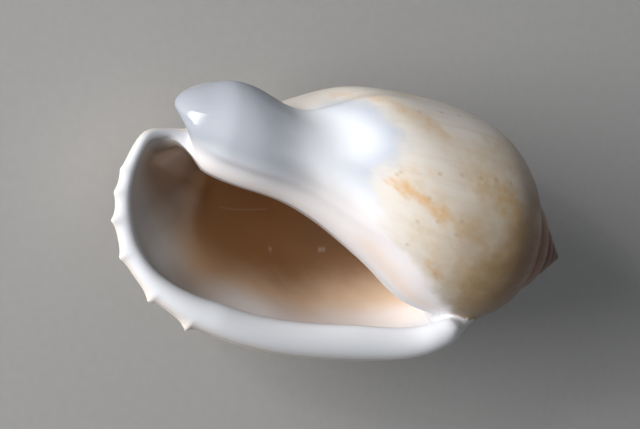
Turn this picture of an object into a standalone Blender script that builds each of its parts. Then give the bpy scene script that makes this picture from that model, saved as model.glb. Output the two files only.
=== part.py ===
"""A bonnet shell lying on its back: one grown piece, hollow behind its mouth.

The wall is swept round the coiling axis as a growing spiral, from the lip back to the tip of
the spire. It is worked out in the shell's own frame, in millimetres: the axis is Z with the
tip of the spire at the origin, X points to the outer lip and Y to the back of the shell.
"turns" are turns of the coil counted back from the lip. Then the shell is laid on its back.
"""
import math

import bmesh
import bpy
import numpy as np
from mathutils import Matrix, Vector

MM = 0.001
FULL_TURN = 2 * math.pi

# Coil
WHORL_GROWTH = 1.75        # each whorl is this much larger than the one before
WHORLS = 5.6
FIRST_WHORL = 1.0          # turns over which the coil opens from a point
TIP_TURNS = 0.25           # turns closed up into the tip itself
LIP_TURN = -0.06           # the lip's place round the axis, in turns from +X

# Whorl section at the lip, as (depth below the tip, distance from the axis)
ATTACH = 3                 # the point of the whorl that the next whorl is attached at
WHORL = np.array([
    (10.51, 9.66), (12.4, 12.5), (15.2, 15.1), (18.4, 16.9),
    (23.0, 17.9), (28.6, 18.0), (34.8, 17.1),
])

# Base, columella and canal below the whorl, by turns from +X towards the back of the shell
BASES = {
    -0.06: [(42.0, 15.2), (48.0, 12.6), (53.0, 10.4), (55.0, 6.5), (51.5, 2.5), (48.0, 0.0)],
    0.00: [(41.0, 14.8), (47.6, 12.0), (52.6, 10.0), (54.4, 6.5), (51.5, 2.5), (48.0, 0.0)],
    0.25: [(36.0, 12.0), (41.0, 9.2), (44.5, 7.2), (46.8, 5.0), (47.8, 2.5), (48.0, 0.0)],
    0.50: [(31.0, 10.5), (36.2, 6.4), (40.0, 5.0), (45.4, 5.8), (50.9, 2.4), (48.0, 0.0)],
    0.75: [(27.0, 8.9), (32.0, 6.4), (38.0, 5.3), (45.5, 5.2), (50.4, 2.7), (48.0, 0.0)],
    1.00: [(23.5, 7.4), (29.0, 5.35), (36.0, 4.5), (43.0, 4.5), (47.6, 3.0), (48.0, 0.0)],
    1.25: [(20.5, 6.3), (26.0, 4.6), (34.0, 4.2), (41.5, 4.1), (46.5, 2.7), (48.0, 0.0)],
    1.50: [(18.0, 5.6), (24.0, 4.4), (32.0, 4.1), (41.0, 3.9), (46.5, 2.7), (48.0, 0.0)],
    1.75: [(16.0, 5.0), (22.0, 4.2), (31.0, 4.0), (41.0, 3.9), (46.5, 2.7), (48.0, 0.0)],
}

# Columella line, as (depth, x, y): the canal leans to the left and bends to the back
COLUMELLA = np.array([
    (0, 0.0, 0.0), (9, 0.2, 0.0), (15, 0.15, 0.0), (24, -0.2, 0.0), (30, -1.0, 0.0),
    (38, -2.4, 0.0), (44, -2.6, 0.8), (48, -2.6, 2.0), (52, -2.2, 3.2), (58, -2.0, 4.8),
])

# Outer edge of the lip, from near the suture to the canal, as (x, y, depth)
LIP_EDGE = [
    (10.9, -4.6, 11.9), (14.5, -4.0, 15.5), (17.0, -3.0, 22.1), (18.6, -2.4, 30.3),
    (18.9, -2.0, 39.5), (17.3, -1.5, 47.0), (12.8, -0.5, 53.3), (8.4, 0.0, 55.3),
    (5.0, 0.0, 55.9), (1.6, 0.5, 55.4), (-0.6, 1.2, 54.2), (-1.6, 2.0, 51.6),
]
FLARE = 0.07               # turns over which the wall flares out to the lip
FLARE_END = 0.4            # turns from the lip where the flare has gone
# Lip thickness and how far its rounded front stands out, by share of the lip's length
LIP_THICKNESS = [(0.0, 2.4), (0.1, 3.4), (0.25, 4.0), (0.5, 3.6), (0.64, 2.2), (0.8, 1.4), (1.0, 1.0)]
LIP_FRONT = [(0.0, 0.8), (0.1, 1.6), (0.5, 1.8), (0.7, 0.8), (1.0, 0.5)]
VARIX = 0.05               # turns over which the inside thins from the lip to the wall
WALL = 1.2
CAVITY_TURNS = 0.55
# Slope from the lip into the hollow near the canal: how far it reaches back, how nearly
# straight it is, and the section places over which it comes in and goes out
SLOPE_TURNS = 0.2
SLOPE_FILL = 0.9
SLOPE_RISE = (0.50, 0.72)
SLOPE_FALL = (0.86, 0.95)

# Teeth on the lip, as (share of the length below the attachment, height)
TEETH = [(0.442, 0.95), (0.532, 0.9), (0.628, 0.75), (0.698, 0.85), (0.750, 0.6), (0.793, 0.4)]
TOOTH_REACH = 0.75         # length along the lip over which a tooth falls away
TOOTH_BACK = 0.01          # turns from the lip that the teeth reach back

# Callus glazed over the front of the last whorl, with a fold along the columella
CALLUS = 0.45
CALLUS_TURN = 0.575        # its edge, in turns back from the lip
CALLUS_TOP = 20.0          # depth at which it fades out upwards
FOLD = 0.35
FOLD_TURN = 0.88
# Groove round the back of the canal, as depths at the lip's side and at the left
GROOVE = 0.6
GROOVE_DEPTHS = (44.5, 37.6)
GROOVE_WIDTH = 1.3

# Places rounded off where the lip runs into the whorl and the canal, as (centre, reach)
SOFTENED = [((9.9, -3.2, -12.0), 3.6), ((-1.6, 2.0, -48.5), 3.6)]
SOFT_PASSES = 2

# Lying on its back
REST_ROLL = math.radians(6)
REST_PITCH = math.radians(-5)
WORN_FLAT = 0.5            # depth worn off the back where the shell rests

# Grid of the sweep
COLUMNS = 36               # columns in one turn
TOP_ROWS = 6               # rows from the suture to where the next whorl is attached
LIP_STEPS = 4              # steps round the lip's edge
CORNER_SHARE = 0.09        # share of the rows below the attachment taken by the lip's corner
CANAL_SHARE = 0.93
WELD = 0.01 * MM

SHELL_COLOUR = (0.86, 0.80, 0.71, 1.0)


def ease(x):
    """0 to 1 with level ends."""
    x = np.clip(x, 0.0, 1.0)
    return x * x * (3 - 2 * x)


def lengths_along(points):
    """Length along a line of points, at each point."""
    steps = np.linalg.norm(np.diff(points, axis=0), axis=1)
    return np.concatenate([[0.0], np.cumsum(steps)])


def smooth_curve(knots, points, at):
    """A natural cubic spline through points at these knots, read at other places."""
    knots, points, at = (np.asarray(a, float) for a in (knots, points, at))
    count, gap = len(knots), np.diff(knots)
    matrix, right = np.eye(count), np.zeros_like(points)
    for i in range(1, count - 1):
        matrix[i, i - 1:i + 2] = gap[i - 1], 2 * (gap[i - 1] + gap[i]), gap[i]
        right[i] = 6 * ((points[i + 1] - points[i]) / gap[i] - (points[i] - points[i - 1]) / gap[i - 1])
    bend = np.linalg.solve(matrix, right)
    span = np.clip(np.searchsorted(knots, at, side="right") - 1, 0, count - 2)
    width = gap[span][:, None]
    before = ((knots[span + 1] - at) / gap[span])[:, None]
    after = 1 - before
    curved = bend[span] * (before ** 3 - before) + bend[span + 1] * (after ** 3 - after)
    return points[span] * before + points[span + 1] * after + curved * width ** 2 / 6


def growth(turns):
    """Size of the whorl at this many turns back, 1 at the lip and 0 at the tip."""
    opening = ease((WHORLS - turns) / FIRST_WHORL)
    return WHORL_GROWTH ** -turns * opening


def section_points(turns):
    """The points that the section is drawn through: the whorl at its size, then its base."""
    places = sorted(BASES)
    table = np.array([BASES[p] for p in places]).reshape(len(places), -1)
    place = min(turns + LIP_TURN, places[-1])
    base = smooth_curve(places, table, [place]).reshape(-1, 2)
    return np.vstack([WHORL * growth(turns), base])


def low_shares():
    """Places of the rows below the attachment, with a close group of rows at each tooth."""
    shares = list(np.linspace(0, CORNER_SHARE, LIP_STEPS + 1))
    shares += [0.15, 0.21, 0.27, 0.33, 0.385]
    for (place, _), (after, _) in zip(TEETH, TEETH[1:] + [(0.85, 0)]):
        shares += [place - 0.012, place, place + 0.012]
        if after < CANAL_SHARE:
            shares.append((place + after) / 2)
    shares += [0.86, 0.895]
    return np.array(shares + list(np.linspace(CANAL_SHARE, 1, LIP_STEPS + 1)))


LOW_SHARES = low_shares()
ROWS = TOP_ROWS + len(LOW_SHARES) - 1


def section(turns):
    """(depth, radius) of each row, from the suture to the canal."""
    points = section_points(turns)
    along = lengths_along(points)
    top = np.linspace(0, along[ATTACH], TOP_ROWS + 1)
    low = along[ATTACH] + (along[-1] - along[ATTACH]) * LOW_SHARES[1:]
    rows = smooth_curve(along, points, np.concatenate([top, low]))
    slope = np.gradient(rows, axis=0)
    outward = np.column_stack([-slope[:, 1], slope[:, 0]])
    raised = relief(turns, rows[:, 0]) / (np.linalg.norm(slope, axis=1) + 1e-9)
    return rows + outward * raised[:, None]


def relief(turns, depth):
    """How far callus, fold and groove stand out of the section."""
    place = turns + LIP_TURN
    neck = ease((depth - CALLUS_TOP) / 10) * ease((49 - depth) / 3)
    callus = CALLUS * ease((turns - CALLUS_TURN) / 0.04)
    fold = FOLD * math.exp(-((turns - FOLD_TURN) / 0.022) ** 2)
    middle = np.interp(place, [0.1, 0.5], GROOVE_DEPTHS)
    back = ease((place - 0.02) / 0.1) * ease((0.56 - place) / 0.06)
    groove = GROOVE * back * np.exp(-((depth - middle) / GROOVE_WIDTH) ** 2)
    return neck * (callus + fold) - groove


def spire_section(turns):
    """The rows of an earlier whorl that show above the suture."""
    full = section(0.0)[:TOP_ROWS + 1]
    rows = full * growth(turns)
    if turns < 1.5:
        near = section(turns)[:TOP_ROWS + 1]
        rows = near + (rows - near) * ease((turns - 1) / 0.5)
    suture = full[-1] * growth(turns + 1) if turns + 1 < WHORLS else np.zeros(2)
    fade = 1 - ease(np.linspace(0, 1, TOP_ROWS + 1))
    return rows + fade[:, None] * (suture - rows[0])


def placed(rows, turns):
    """Section rows set round the coil, on the columella line."""
    depth, radius = rows[:, 0], rows[:, 1]
    middle = smooth_curve(COLUMELLA[:, 0], COLUMELLA[:, 1:], depth)
    angle = FULL_TURN * (turns + LIP_TURN)
    x = middle[:, 0] + radius * math.cos(angle)
    y = middle[:, 1] + radius * math.sin(angle)
    return np.column_stack([x, y, -depth])


def lip_edge(first):
    """The lip's outer edge, one point for each row of the first column."""
    inner = np.array(LIP_EDGE) * (1, 1, -1)
    points = np.vstack([first[0], inner, first[-1]])
    along, rows = lengths_along(points), lengths_along(first)
    return smooth_curve(along, points, rows / rows[-1] * along[-1])


def by_share(table, line):
    """Values given by share of the lip's length, read at each row of the line."""
    along = lengths_along(line)
    shares, values = zip(*table)
    return np.interp(along / along[-1], shares, values)


def wall_turns(last):
    """Turns of the columns from the lip to the last, with one more behind the teeth."""
    return [0.0, TOOTH_BACK] + [i / COLUMNS for i in range(1, round(last * COLUMNS) + 1)]


def outside():
    """Columns of the last whorl's outside."""
    columns = [placed(section(turns), turns) for turns in wall_turns(1)]
    flare = lip_edge(columns[0]) - columns[0]
    for i, turns in enumerate(wall_turns(1)[:-1]):
        reach = math.exp(-(turns / FLARE) ** 2) * (1 - ease(turns / FLARE_END))
        columns[i] = columns[i] + reach * flare
    return columns


def core():
    """Columns of the wall that the hollow winds round, from one turn back."""
    low, high = TOP_ROWS + LIP_STEPS, ROWS - LIP_STEPS
    counts = wall_turns(CAVITY_TURNS)
    return [placed(section(1 + turns), 1 + turns)[low:high + 1] for turns in counts]


def spire():
    """Columns of the earlier whorls, from one turn back to the tip."""
    counts = range(COLUMNS, round((WHORLS - TIP_TURNS) * COLUMNS) + 1)
    columns = [placed(spire_section(i / COLUMNS), i / COLUMNS) for i in counts]
    return columns + [np.zeros((TOP_ROWS + 1, 3))]


def unit(vectors):
    return vectors / (np.linalg.norm(vectors, axis=1)[:, None] + 1e-9)


def joined(line, start, end, first_reach, last_reach):
    """The line with its ends moved to start and end, the move fading over these lengths."""
    along = lengths_along(line)
    near_start = (1 - ease(along / first_reach))[:, None]
    near_end = (1 - ease((along[-1] - along) / last_reach))[:, None]
    return line + near_start * (start - line[0]) + near_end * (end - line[-1])


def lip_directions(edge):
    """Directions to the front and to the inside at each row of the lip."""
    along = unit(np.gradient(edge, axis=0))
    front = np.array([0.0, -1.0, 0.0])
    front = unit(front - along * (along @ front)[:, None])
    return front, np.cross(along, front)


def toothed(edge):
    """The lip's outer edge drawn out into teeth."""
    along = lengths_along(edge)
    start, length = along[TOP_ROWS], along[-1] - along[TOP_ROWS]
    front, inward = lip_directions(edge)
    height = np.zeros(len(edge))
    for share, tall in TEETH:
        height += tall * np.exp(-np.abs(along - start - share * length) / TOOTH_REACH)
    return edge + (0.35 * front - inward) * height[:, None]


def lip_roll(columns):
    """Lines round the lip, from its outer edge to its inner one."""
    edge = columns[0]
    front, inward = lip_directions(edge)
    thick = by_share(LIP_THICKNESS, edge)
    stand = by_share(LIP_FRONT, edge)
    under = columns[-1]
    lines = []
    for step in range(1, LIP_STEPS + 1):
        turn = math.pi * step / LIP_STEPS
        line = edge + inward * (thick * (1 - math.cos(turn)) / 2)[:, None]
        line = line + front * (stand * math.sin(turn))[:, None]
        lines.append(joined(line, under[TOP_ROWS + step], under[ROWS - step], 4.0, 3.0))
    return lines


def wall_inside(columns, core_columns, lip_inner):
    """Columns of the hollow's outer wall, from the lip's inner edge to its deep end."""
    swelling = None
    lines = []
    for i, turns in enumerate(wall_turns(CAVITY_TURNS)):
        sweep = columns[i + 1] - columns[max(i - 1, 0)]
        inward = unit(np.cross(sweep, np.gradient(columns[i], axis=0)))
        line = columns[i] + inward * WALL * WHORL_GROWTH ** -turns
        if i == 0:
            swelling = lip_inner - line
            continue
        line = line + math.exp(-(turns / VARIX) ** 2) * swelling
        lines.append(joined(line, core_columns[i][0], core_columns[i][-1], 4.0, 3.5))
    return sloped(lines, lip_inner)


def sloped(lines, lip_inner):
    """The hollow's outer wall filled to an even slope where it runs out to the canal."""
    turns = np.array(wall_turns(CAVITY_TURNS)[1:])
    places = np.concatenate([np.zeros(TOP_ROWS), LOW_SHARES])
    last = int(np.argmin(abs(turns - SLOPE_TURNS)))
    (rise, full), (fall, gone) = SLOPE_RISE, SLOPE_FALL
    filled = ease((places - rise) / (full - rise)) * ease((gone - places) / (gone - fall))
    for i in range(last):
        straight = lip_inner + turns[i] / turns[last] * (lines[last] - lip_inner)
        lines[i] = lines[i] + SLOPE_FILL * filled[:, None] * (straight - lines[i])
    return lines


def chain(bm, points):
    """A line of vertices and edges."""
    verts = [bm.verts.new(Vector(p) * MM) for p in points]
    for pair in zip(verts, verts[1:]):
        bm.edges.new(pair)
    return verts


def extruded(bm, verts, points):
    """Extrudes a line of vertices, and sets the new ones at points."""
    edges = [bm.edges.get(pair) for pair in zip(verts, verts[1:])]
    made = bmesh.ops.extrude_edge_only(bm, edges=edges)["geom"]
    fresh = {v for v in made if isinstance(v, bmesh.types.BMVert)}
    moved = []
    for vert, point in zip(verts, points):
        new = next(e.other_vert(vert) for e in vert.link_edges if e.other_vert(vert) in fresh)
        new.co = Vector(point) * MM
        moved.append(new)
    return moved


def grow_shell(bm):
    """Sweeps the outside, the spire, the lip and the hollow as one skin."""
    columns = outside()
    core_columns = core()
    roll = lip_roll(columns)
    inside = wall_inside(columns, core_columns, roll[-1])
    start = chain(bm, toothed(columns[0]))
    line = start
    for column in columns[1:]:
        line = extruded(bm, line, column)
    spire_line = line[:TOP_ROWS + 1]
    for column in spire()[1:]:
        spire_line = extruded(bm, spire_line, column)
    core_line = line[TOP_ROWS + LIP_STEPS:ROWS - LIP_STEPS + 1]
    for column in core_columns[1:]:
        core_line = extruded(bm, core_line, column)
    line = start
    for column in roll + inside:
        line = extruded(bm, line, column)
    bmesh.ops.remove_doubles(bm, verts=bm.verts, dist=WELD)
    open_edges = [e for e in bm.edges if e.is_boundary]
    bmesh.ops.holes_fill(bm, edges=open_edges, sides=0)
    bmesh.ops.triangulate(bm, faces=[f for f in bm.faces if len(f.verts) > 4])
    bmesh.ops.recalc_face_normals(bm, faces=bm.faces)
    for centre, reach in SOFTENED:
        for share in (1.0, 0.75, 0.5):
            soften(bm, Vector(centre) * MM, reach * share * MM)


def soften(bm, centre, reach):
    """Rounds off the creases round a place."""
    verts = [v for v in bm.verts if (v.co - centre).length < reach]
    for _ in range(SOFT_PASSES):
        bmesh.ops.smooth_vert(
            bm, verts=verts, factor=0.5, use_axis_x=True, use_axis_y=True, use_axis_z=True)


def lay_down(bm):
    """Turns the shell onto its back, with the small worn flat that it rests on."""
    onto_back = Matrix(((0, 0, 1, 0), (-1, 0, 0, 0), (0, -1, 0, 0), (0, 0, 0, 1)))
    turn = Matrix.Rotation(REST_PITCH, 4, "Y") @ Matrix.Rotation(REST_ROLL, 4, "X")
    bmesh.ops.transform(bm, matrix=turn @ onto_back, verts=bm.verts)
    spans = [(min(c), max(c)) for c in zip(*(v.co for v in bm.verts))]
    middle = Vector([(low + high) / 2 for low, high in spans])
    middle.z = spans[2][0] + WORN_FLAT * MM
    bmesh.ops.translate(bm, verts=bm.verts, vec=-middle)
    skin = list(bm.verts) + list(bm.edges) + list(bm.faces)
    bmesh.ops.bisect_plane(
        bm, geom=skin, dist=WELD, plane_co=(0, 0, 0), plane_no=(0, 0, 1), clear_inner=True)
    rim = [e for e in bm.edges if e.is_boundary]
    for vert in {v for e in rim for v in e.verts}:
        vert.co.z = 0.0
    flat = bmesh.ops.holes_fill(bm, edges=rim, sides=0)["faces"]
    bmesh.ops.triangulate(bm, faces=flat)


def shell_material():
    material = bpy.data.materials.new("glossy_shell")
    material.use_nodes = True
    shader = material.node_tree.nodes["Principled BSDF"]
    shader.inputs["Base Color"].default_value = SHELL_COLOUR
    shader.inputs["Roughness"].default_value = 0.25
    shader.inputs["Metallic"].default_value = 0.0
    return material


def main():
    for old in list(bpy.data.objects):
        bpy.data.objects.remove(old)
    bm = bmesh.new()
    grow_shell(bm)
    lay_down(bm)
    mesh = bpy.data.meshes.new("shell")
    bm.to_mesh(mesh)
    bm.free()
    mesh.shade_smooth()
    mesh.materials.append(shell_material())
    shell = bpy.data.objects.new("shell", mesh)
    bpy.context.scene.collection.objects.link(shell)


main()
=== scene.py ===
"""A bonnet shell lying on its back, with the form and finish of the real one.

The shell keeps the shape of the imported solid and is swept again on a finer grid, as one skin
that winds round the coiling axis from the lip back to the tip of the spire. The skin carries
where each point lies on the coil, and the colours follow that. The form is worked out in the
shell's own frame, in millimetres: the axis is Z with the tip of the spire at the origin, X
points to the outer lip and Y to the back. "turns" are turns of the coil back from the lip.
"""
import math

import bmesh
import bpy
import numpy as np
from mathutils import Matrix, Vector


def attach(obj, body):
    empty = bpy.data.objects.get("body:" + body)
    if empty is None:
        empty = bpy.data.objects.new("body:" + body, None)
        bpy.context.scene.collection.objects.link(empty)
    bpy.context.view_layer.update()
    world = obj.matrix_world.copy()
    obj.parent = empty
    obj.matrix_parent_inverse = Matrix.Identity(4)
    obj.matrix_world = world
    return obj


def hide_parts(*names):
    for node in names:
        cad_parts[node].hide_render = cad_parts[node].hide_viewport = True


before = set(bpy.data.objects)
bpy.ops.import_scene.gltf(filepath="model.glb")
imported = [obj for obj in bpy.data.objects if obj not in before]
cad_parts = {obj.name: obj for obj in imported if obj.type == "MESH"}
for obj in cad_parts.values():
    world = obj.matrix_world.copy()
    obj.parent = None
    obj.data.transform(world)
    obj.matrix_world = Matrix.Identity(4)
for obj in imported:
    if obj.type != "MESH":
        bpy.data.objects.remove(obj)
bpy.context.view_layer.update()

bl_info = {
    "name": "Bonnet shell",
    "version": (1, 0, 0),
    "blender": (4, 5, 0),
    "location": "3D View > Sidebar > Shell",
    "description": "A bonnet shell lying on its back, on a pale floor in soft light",
    "category": "Object",
}

MM = 0.001
FULL_TURN = 2 * math.pi

# Coil
WHORL_GROWTH = 1.75        # each whorl is this much larger than the one before
WHORLS = 5.6
FIRST_WHORL = 1.0          # turns over which the coil opens from a point
SPIRE_BLEND = 0.5          # turns over which the last whorl's section gives way to the spire's
TIP_TURNS = 0.25           # turns closed up into the tip itself
TIP_ROUND = 0.25           # distance from the tip within which all is gathered into one point
LIP_TURN = -0.06           # the lip's place round the axis, in turns from +X

# Whorl section at the lip, as (depth below the tip, distance from the axis)
ATTACH = 3                 # the point of the whorl that the next whorl is attached at
WHORL = np.array([
    (10.51, 9.66), (12.4, 12.5), (15.2, 15.1), (18.4, 16.9),
    (23.0, 17.9), (28.6, 18.0), (34.8, 17.1),
])

# Base, columella and canal below the whorl, by turns from +X towards the back of the shell
BASES = {
    -0.06: [(42.0, 15.2), (48.0, 12.6), (53.0, 10.4), (55.0, 6.5), (51.5, 2.5), (48.0, 0.0)],
    0.00: [(41.0, 14.8), (47.6, 12.0), (52.6, 10.0), (54.4, 6.5), (51.5, 2.5), (48.0, 0.0)],
    0.25: [(36.0, 12.0), (41.0, 9.2), (44.5, 7.2), (46.8, 5.0), (47.8, 2.5), (48.0, 0.0)],
    0.50: [(31.0, 10.5), (36.2, 6.4), (40.0, 5.0), (45.4, 5.8), (50.9, 2.4), (48.0, 0.0)],
    0.75: [(27.0, 8.9), (32.0, 6.4), (38.0, 5.3), (45.5, 5.2), (50.4, 2.7), (48.0, 0.0)],
    1.00: [(23.5, 7.4), (29.0, 5.35), (36.0, 4.5), (43.0, 4.5), (47.6, 3.0), (48.0, 0.0)],
    1.25: [(20.5, 6.3), (26.0, 4.6), (34.0, 4.2), (41.5, 4.1), (46.5, 2.7), (48.0, 0.0)],
    1.50: [(18.0, 5.6), (24.0, 4.4), (32.0, 4.1), (41.0, 3.9), (46.5, 2.7), (48.0, 0.0)],
    1.75: [(16.0, 5.0), (22.0, 4.2), (31.0, 4.0), (41.0, 3.9), (46.5, 2.7), (48.0, 0.0)],
}

# Columella line, as (depth, x, y): the canal leans to the left and bends to the back
COLUMELLA = np.array([
    (0, 0.0, 0.0), (9, 0.2, 0.0), (15, 0.15, 0.0), (24, -0.2, 0.0), (30, -1.0, 0.0),
    (38, -2.4, 0.0), (44, -2.6, 0.8), (48, -2.6, 2.0), (52, -2.2, 3.2), (58, -2.0, 4.8),
])

# Outer edge of the lip, from near the suture to the canal, as (x, y, depth)
LIP_EDGE = [
    (10.9, -4.6, 11.9), (14.5, -4.0, 15.5), (17.0, -3.0, 22.1), (18.6, -2.4, 30.3),
    (18.9, -2.0, 39.5), (17.3, -1.5, 47.0), (12.8, -0.5, 53.3), (8.4, 0.0, 55.3),
    (5.0, 0.0, 55.9), (1.6, 0.5, 55.4), (-0.6, 1.2, 54.2), (-1.6, 2.0, 51.6),
]
FLARE = 0.07               # turns over which the wall flares out to the lip
FLARE_END = 0.4            # turns from the lip where the flare has gone
# Lip thickness and how far its rounded front stands out, by share of the lip's length
LIP_THICKNESS = [(0.0, 2.4), (0.1, 3.4), (0.25, 4.0), (0.5, 3.6), (0.64, 2.2), (0.8, 1.4), (1.0, 1.0)]
LIP_FRONT = [(0.0, 0.8), (0.1, 1.6), (0.5, 1.8), (0.7, 0.8), (1.0, 0.5)]
# Lengths over which lines bend to meet the whorl above and the canal below
LIP_JOINS = (4.0, 3.0)
WALL_JOINS = (4.0, 3.5)
VARIX = 0.05               # turns over which the inside thins from the lip to the wall
CAVITY_TURNS = 0.55        # turns that the hollow winds back from the mouth
# Slope from the lip into the hollow near the canal: how far it reaches back, how nearly
# straight it is, and the section places over which it comes in and goes out
SLOPE_TURNS = 0.2
SLOPE_FILL = 0.9
SLOPE_PLACES = ((0.50, 0.72), (0.86, 0.95))

# Teeth on the lip, as (share of the length below the attachment, height)
TEETH = [(0.442, 0.95), (0.532, 0.9), (0.628, 0.75), (0.698, 0.85), (0.750, 0.6), (0.793, 0.4)]
TOOTH_REACH = 0.75         # length along the lip over which a tooth falls away
TOOTH_SWEEP = 0.7          # length over which a tooth fades back from the lip's edge
TOOTH_LEAN = 0.35          # how far the teeth lean forwards, as a share of their height
TOOTHED_COLUMNS = 6        # columns behind the lip that the teeth can reach

# Callus glazed over the front of the last whorl, with a fold along the columella
CALLUS_TURN = 0.575        # its edge, in turns back from the lip
CALLUS_EDGE = 0.03         # turns over which that edge rises
CALLUS_TOP = 20.0          # depth at which it fades out upwards
CALLUS_FOOT = 49           # depth at which it has run out on the canal
FOLD_TURN = 0.88
FOLD_WIDTH = 0.022
# Groove round the back of the canal: its depths at two turns from +X, and its ends
GROOVE_TURNS = (0.1, 0.5)
GROOVE_DEPTHS = (44.5, 37.6)
GROOVE_ENDS = (0.02, 0.56)
GROOVE_WIDTH = 1.3

# Places rounded off where the lip runs into the whorl and the canal, as (centre, reach)
SOFTENED = [((9.9, -3.2, -12.0), 3.6), ((-1.6, 2.0, -48.5), 3.6)]
SOFT_SHARES = (1.0, 0.75, 0.5)      # shares of the reach, one after the other
SOFT_PASSES = 14

# Lying on its back
REST_ROLL = math.radians(6)
REST_PITCH = math.radians(-5)
WORN_FLAT = 0.5            # depth worn off the back where the shell rests

# Grid of the sweep
COLUMNS = 144              # columns in one turn
NEAR_LIP = [0.0, 0.0025, 0.0045]    # turns of the lip itself and of two columns close to it
FINER = 3                  # rows and lip steps for each one of the solid's
TOP_ROWS = 6 * FINER       # rows from the suture to where the next whorl is attached
LIP_STEPS = 4              # steps round the lip's edge, before they are made finer
CORNER_SHARE = 0.09        # share of the rows below the attachment taken by the lip's corner
CANAL_SHARE = 0.93         # where the rows of the lip's other corner begin
SHARES_ABOVE_TEETH = [0.15, 0.21, 0.27, 0.33, 0.385]
SHARES_BELOW_TEETH = [0.86, 0.895]
TOOTH_GROUP = 0.012        # share between the rows of a tooth's close group
TEETH_END = 0.85
TOP_SHARE = 0.16           # length above the attachment as a share of the length below it
WELD = 0.01 * MM

# Camera, in the shell's own frame
VIEW_FOCUS = (0.0, 0.0, -28.0)
VIEW_TILT = math.radians(27)
VIEW_ROLL = math.radians(16)
VIEW_DISTANCE = 300.0
VIEW_ASIDE = (-3.873, -1.837)
VIEW_LENS = 150.67
SENSOR_WIDTH = 36.0
NEAREST_SEEN = 0.01

# Floor, room and lights. A light is (name, direction by the view's back, up and right, size,
# share of the key light's power).
FLOOR_REACH = 2.0
ROOM_COLOUR = (0.92, 0.96, 1.0)
LIGHT_DISTANCE = 0.6
LIGHTS = [
    ("key_light", (0.72, 0.18, -0.67), (0.42, 0.36), 1.0),
    ("spark_light", (0.88, 0.30, -0.36), (0.03, 0.03), 0.03),
]

# Scale of the markings: millimetres round the whorl for one turn, and along the section
TURN_LENGTH = 80.0
SECTION_LENGTH = 44.0


class ShellForm(bpy.types.PropertyGroup):
    """Sizes of the shell's smaller forms"""
    wall: bpy.props.FloatProperty(
        name="Wall", description="Thickness of the wall behind the lip",
        default=1.2 * MM, min=0.6 * MM, max=2.0 * MM, precision=5, unit="LENGTH", subtype="DISTANCE")
    teeth: bpy.props.FloatProperty(
        name="Teeth", description="Height of the teeth on the lip, as a share of their own",
        default=1.0, min=0.0, max=1.6)
    callus: bpy.props.FloatProperty(
        name="Callus", description="Thickness of the glaze over the front of the last whorl",
        default=0.45 * MM, min=0.0, max=0.9 * MM, precision=5, unit="LENGTH", subtype="DISTANCE")
    fold: bpy.props.FloatProperty(
        name="Fold", description="Height of the fold along the columella",
        default=0.35 * MM, min=0.0, max=0.8 * MM, precision=5, unit="LENGTH", subtype="DISTANCE")
    groove: bpy.props.FloatProperty(
        name="Groove", description="Depth of the groove round the back of the canal",
        default=0.6 * MM, min=0.0, max=1.0 * MM, precision=5, unit="LENGTH", subtype="DISTANCE")


class ShellColours(bpy.types.PropertyGroup):
    """Colours of the shell's skin"""
    whorl: bpy.props.FloatVectorProperty(
        name="Whorl", description="Cream ground of the last whorl", subtype="COLOR",
        default=(0.72, 0.67, 0.60), min=0, max=1)
    callus: bpy.props.FloatVectorProperty(
        name="Callus", description="White glaze over the front of the last whorl", subtype="COLOR",
        default=(0.80, 0.82, 0.86), min=0, max=1)
    flame: bpy.props.FloatVectorProperty(
        name="Flames", description="Tan flames across the whorl", subtype="COLOR",
        default=(0.66, 0.42, 0.22), min=0, max=1)
    dot: bpy.props.FloatVectorProperty(
        name="Dots", description="Small brown dots in rows on the whorl", subtype="COLOR",
        default=(0.42, 0.24, 0.11), min=0, max=1)
    lip: bpy.props.FloatVectorProperty(
        name="Lip", description="White front of the lip", subtype="COLOR",
        default=(0.70, 0.71, 0.74), min=0, max=1)
    hollow: bpy.props.FloatVectorProperty(
        name="Hollow", description="Brown of the hollow behind the mouth", subtype="COLOR",
        default=(0.47, 0.235, 0.098), min=0, max=1)
    spire: bpy.props.FloatVectorProperty(
        name="Spire", description="Reddish brown of the spire's tip", subtype="COLOR",
        default=(0.13, 0.04, 0.015), min=0, max=1)


class StageSettings(bpy.types.PropertyGroup):
    """Floor, light and view"""
    floor: bpy.props.FloatVectorProperty(
        name="Floor", description="Colour of the floor", subtype="COLOR",
        default=(0.50, 0.49, 0.48), min=0, max=1)
    key_power: bpy.props.FloatProperty(
        name="Key light", description="Power of the large soft light", default=6.6, min=0,
        unit="POWER")
    fill: bpy.props.FloatProperty(
        name="Fill", description="Brightness of the light from all round", default=0.19, min=0)
    lens: bpy.props.FloatProperty(
        name="Lens", description="Focal length of the camera, in millimetres", default=VIEW_LENS,
        min=50)


def ease(x):
    """0 to 1 with level ends."""
    x = np.clip(x, 0.0, 1.0)
    return x * x * (3 - 2 * x)


def lengths_along(points):
    """Length along a line of points, at each point."""
    steps = np.linalg.norm(np.diff(points, axis=0), axis=1)
    return np.concatenate([[0.0], np.cumsum(steps)])


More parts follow.
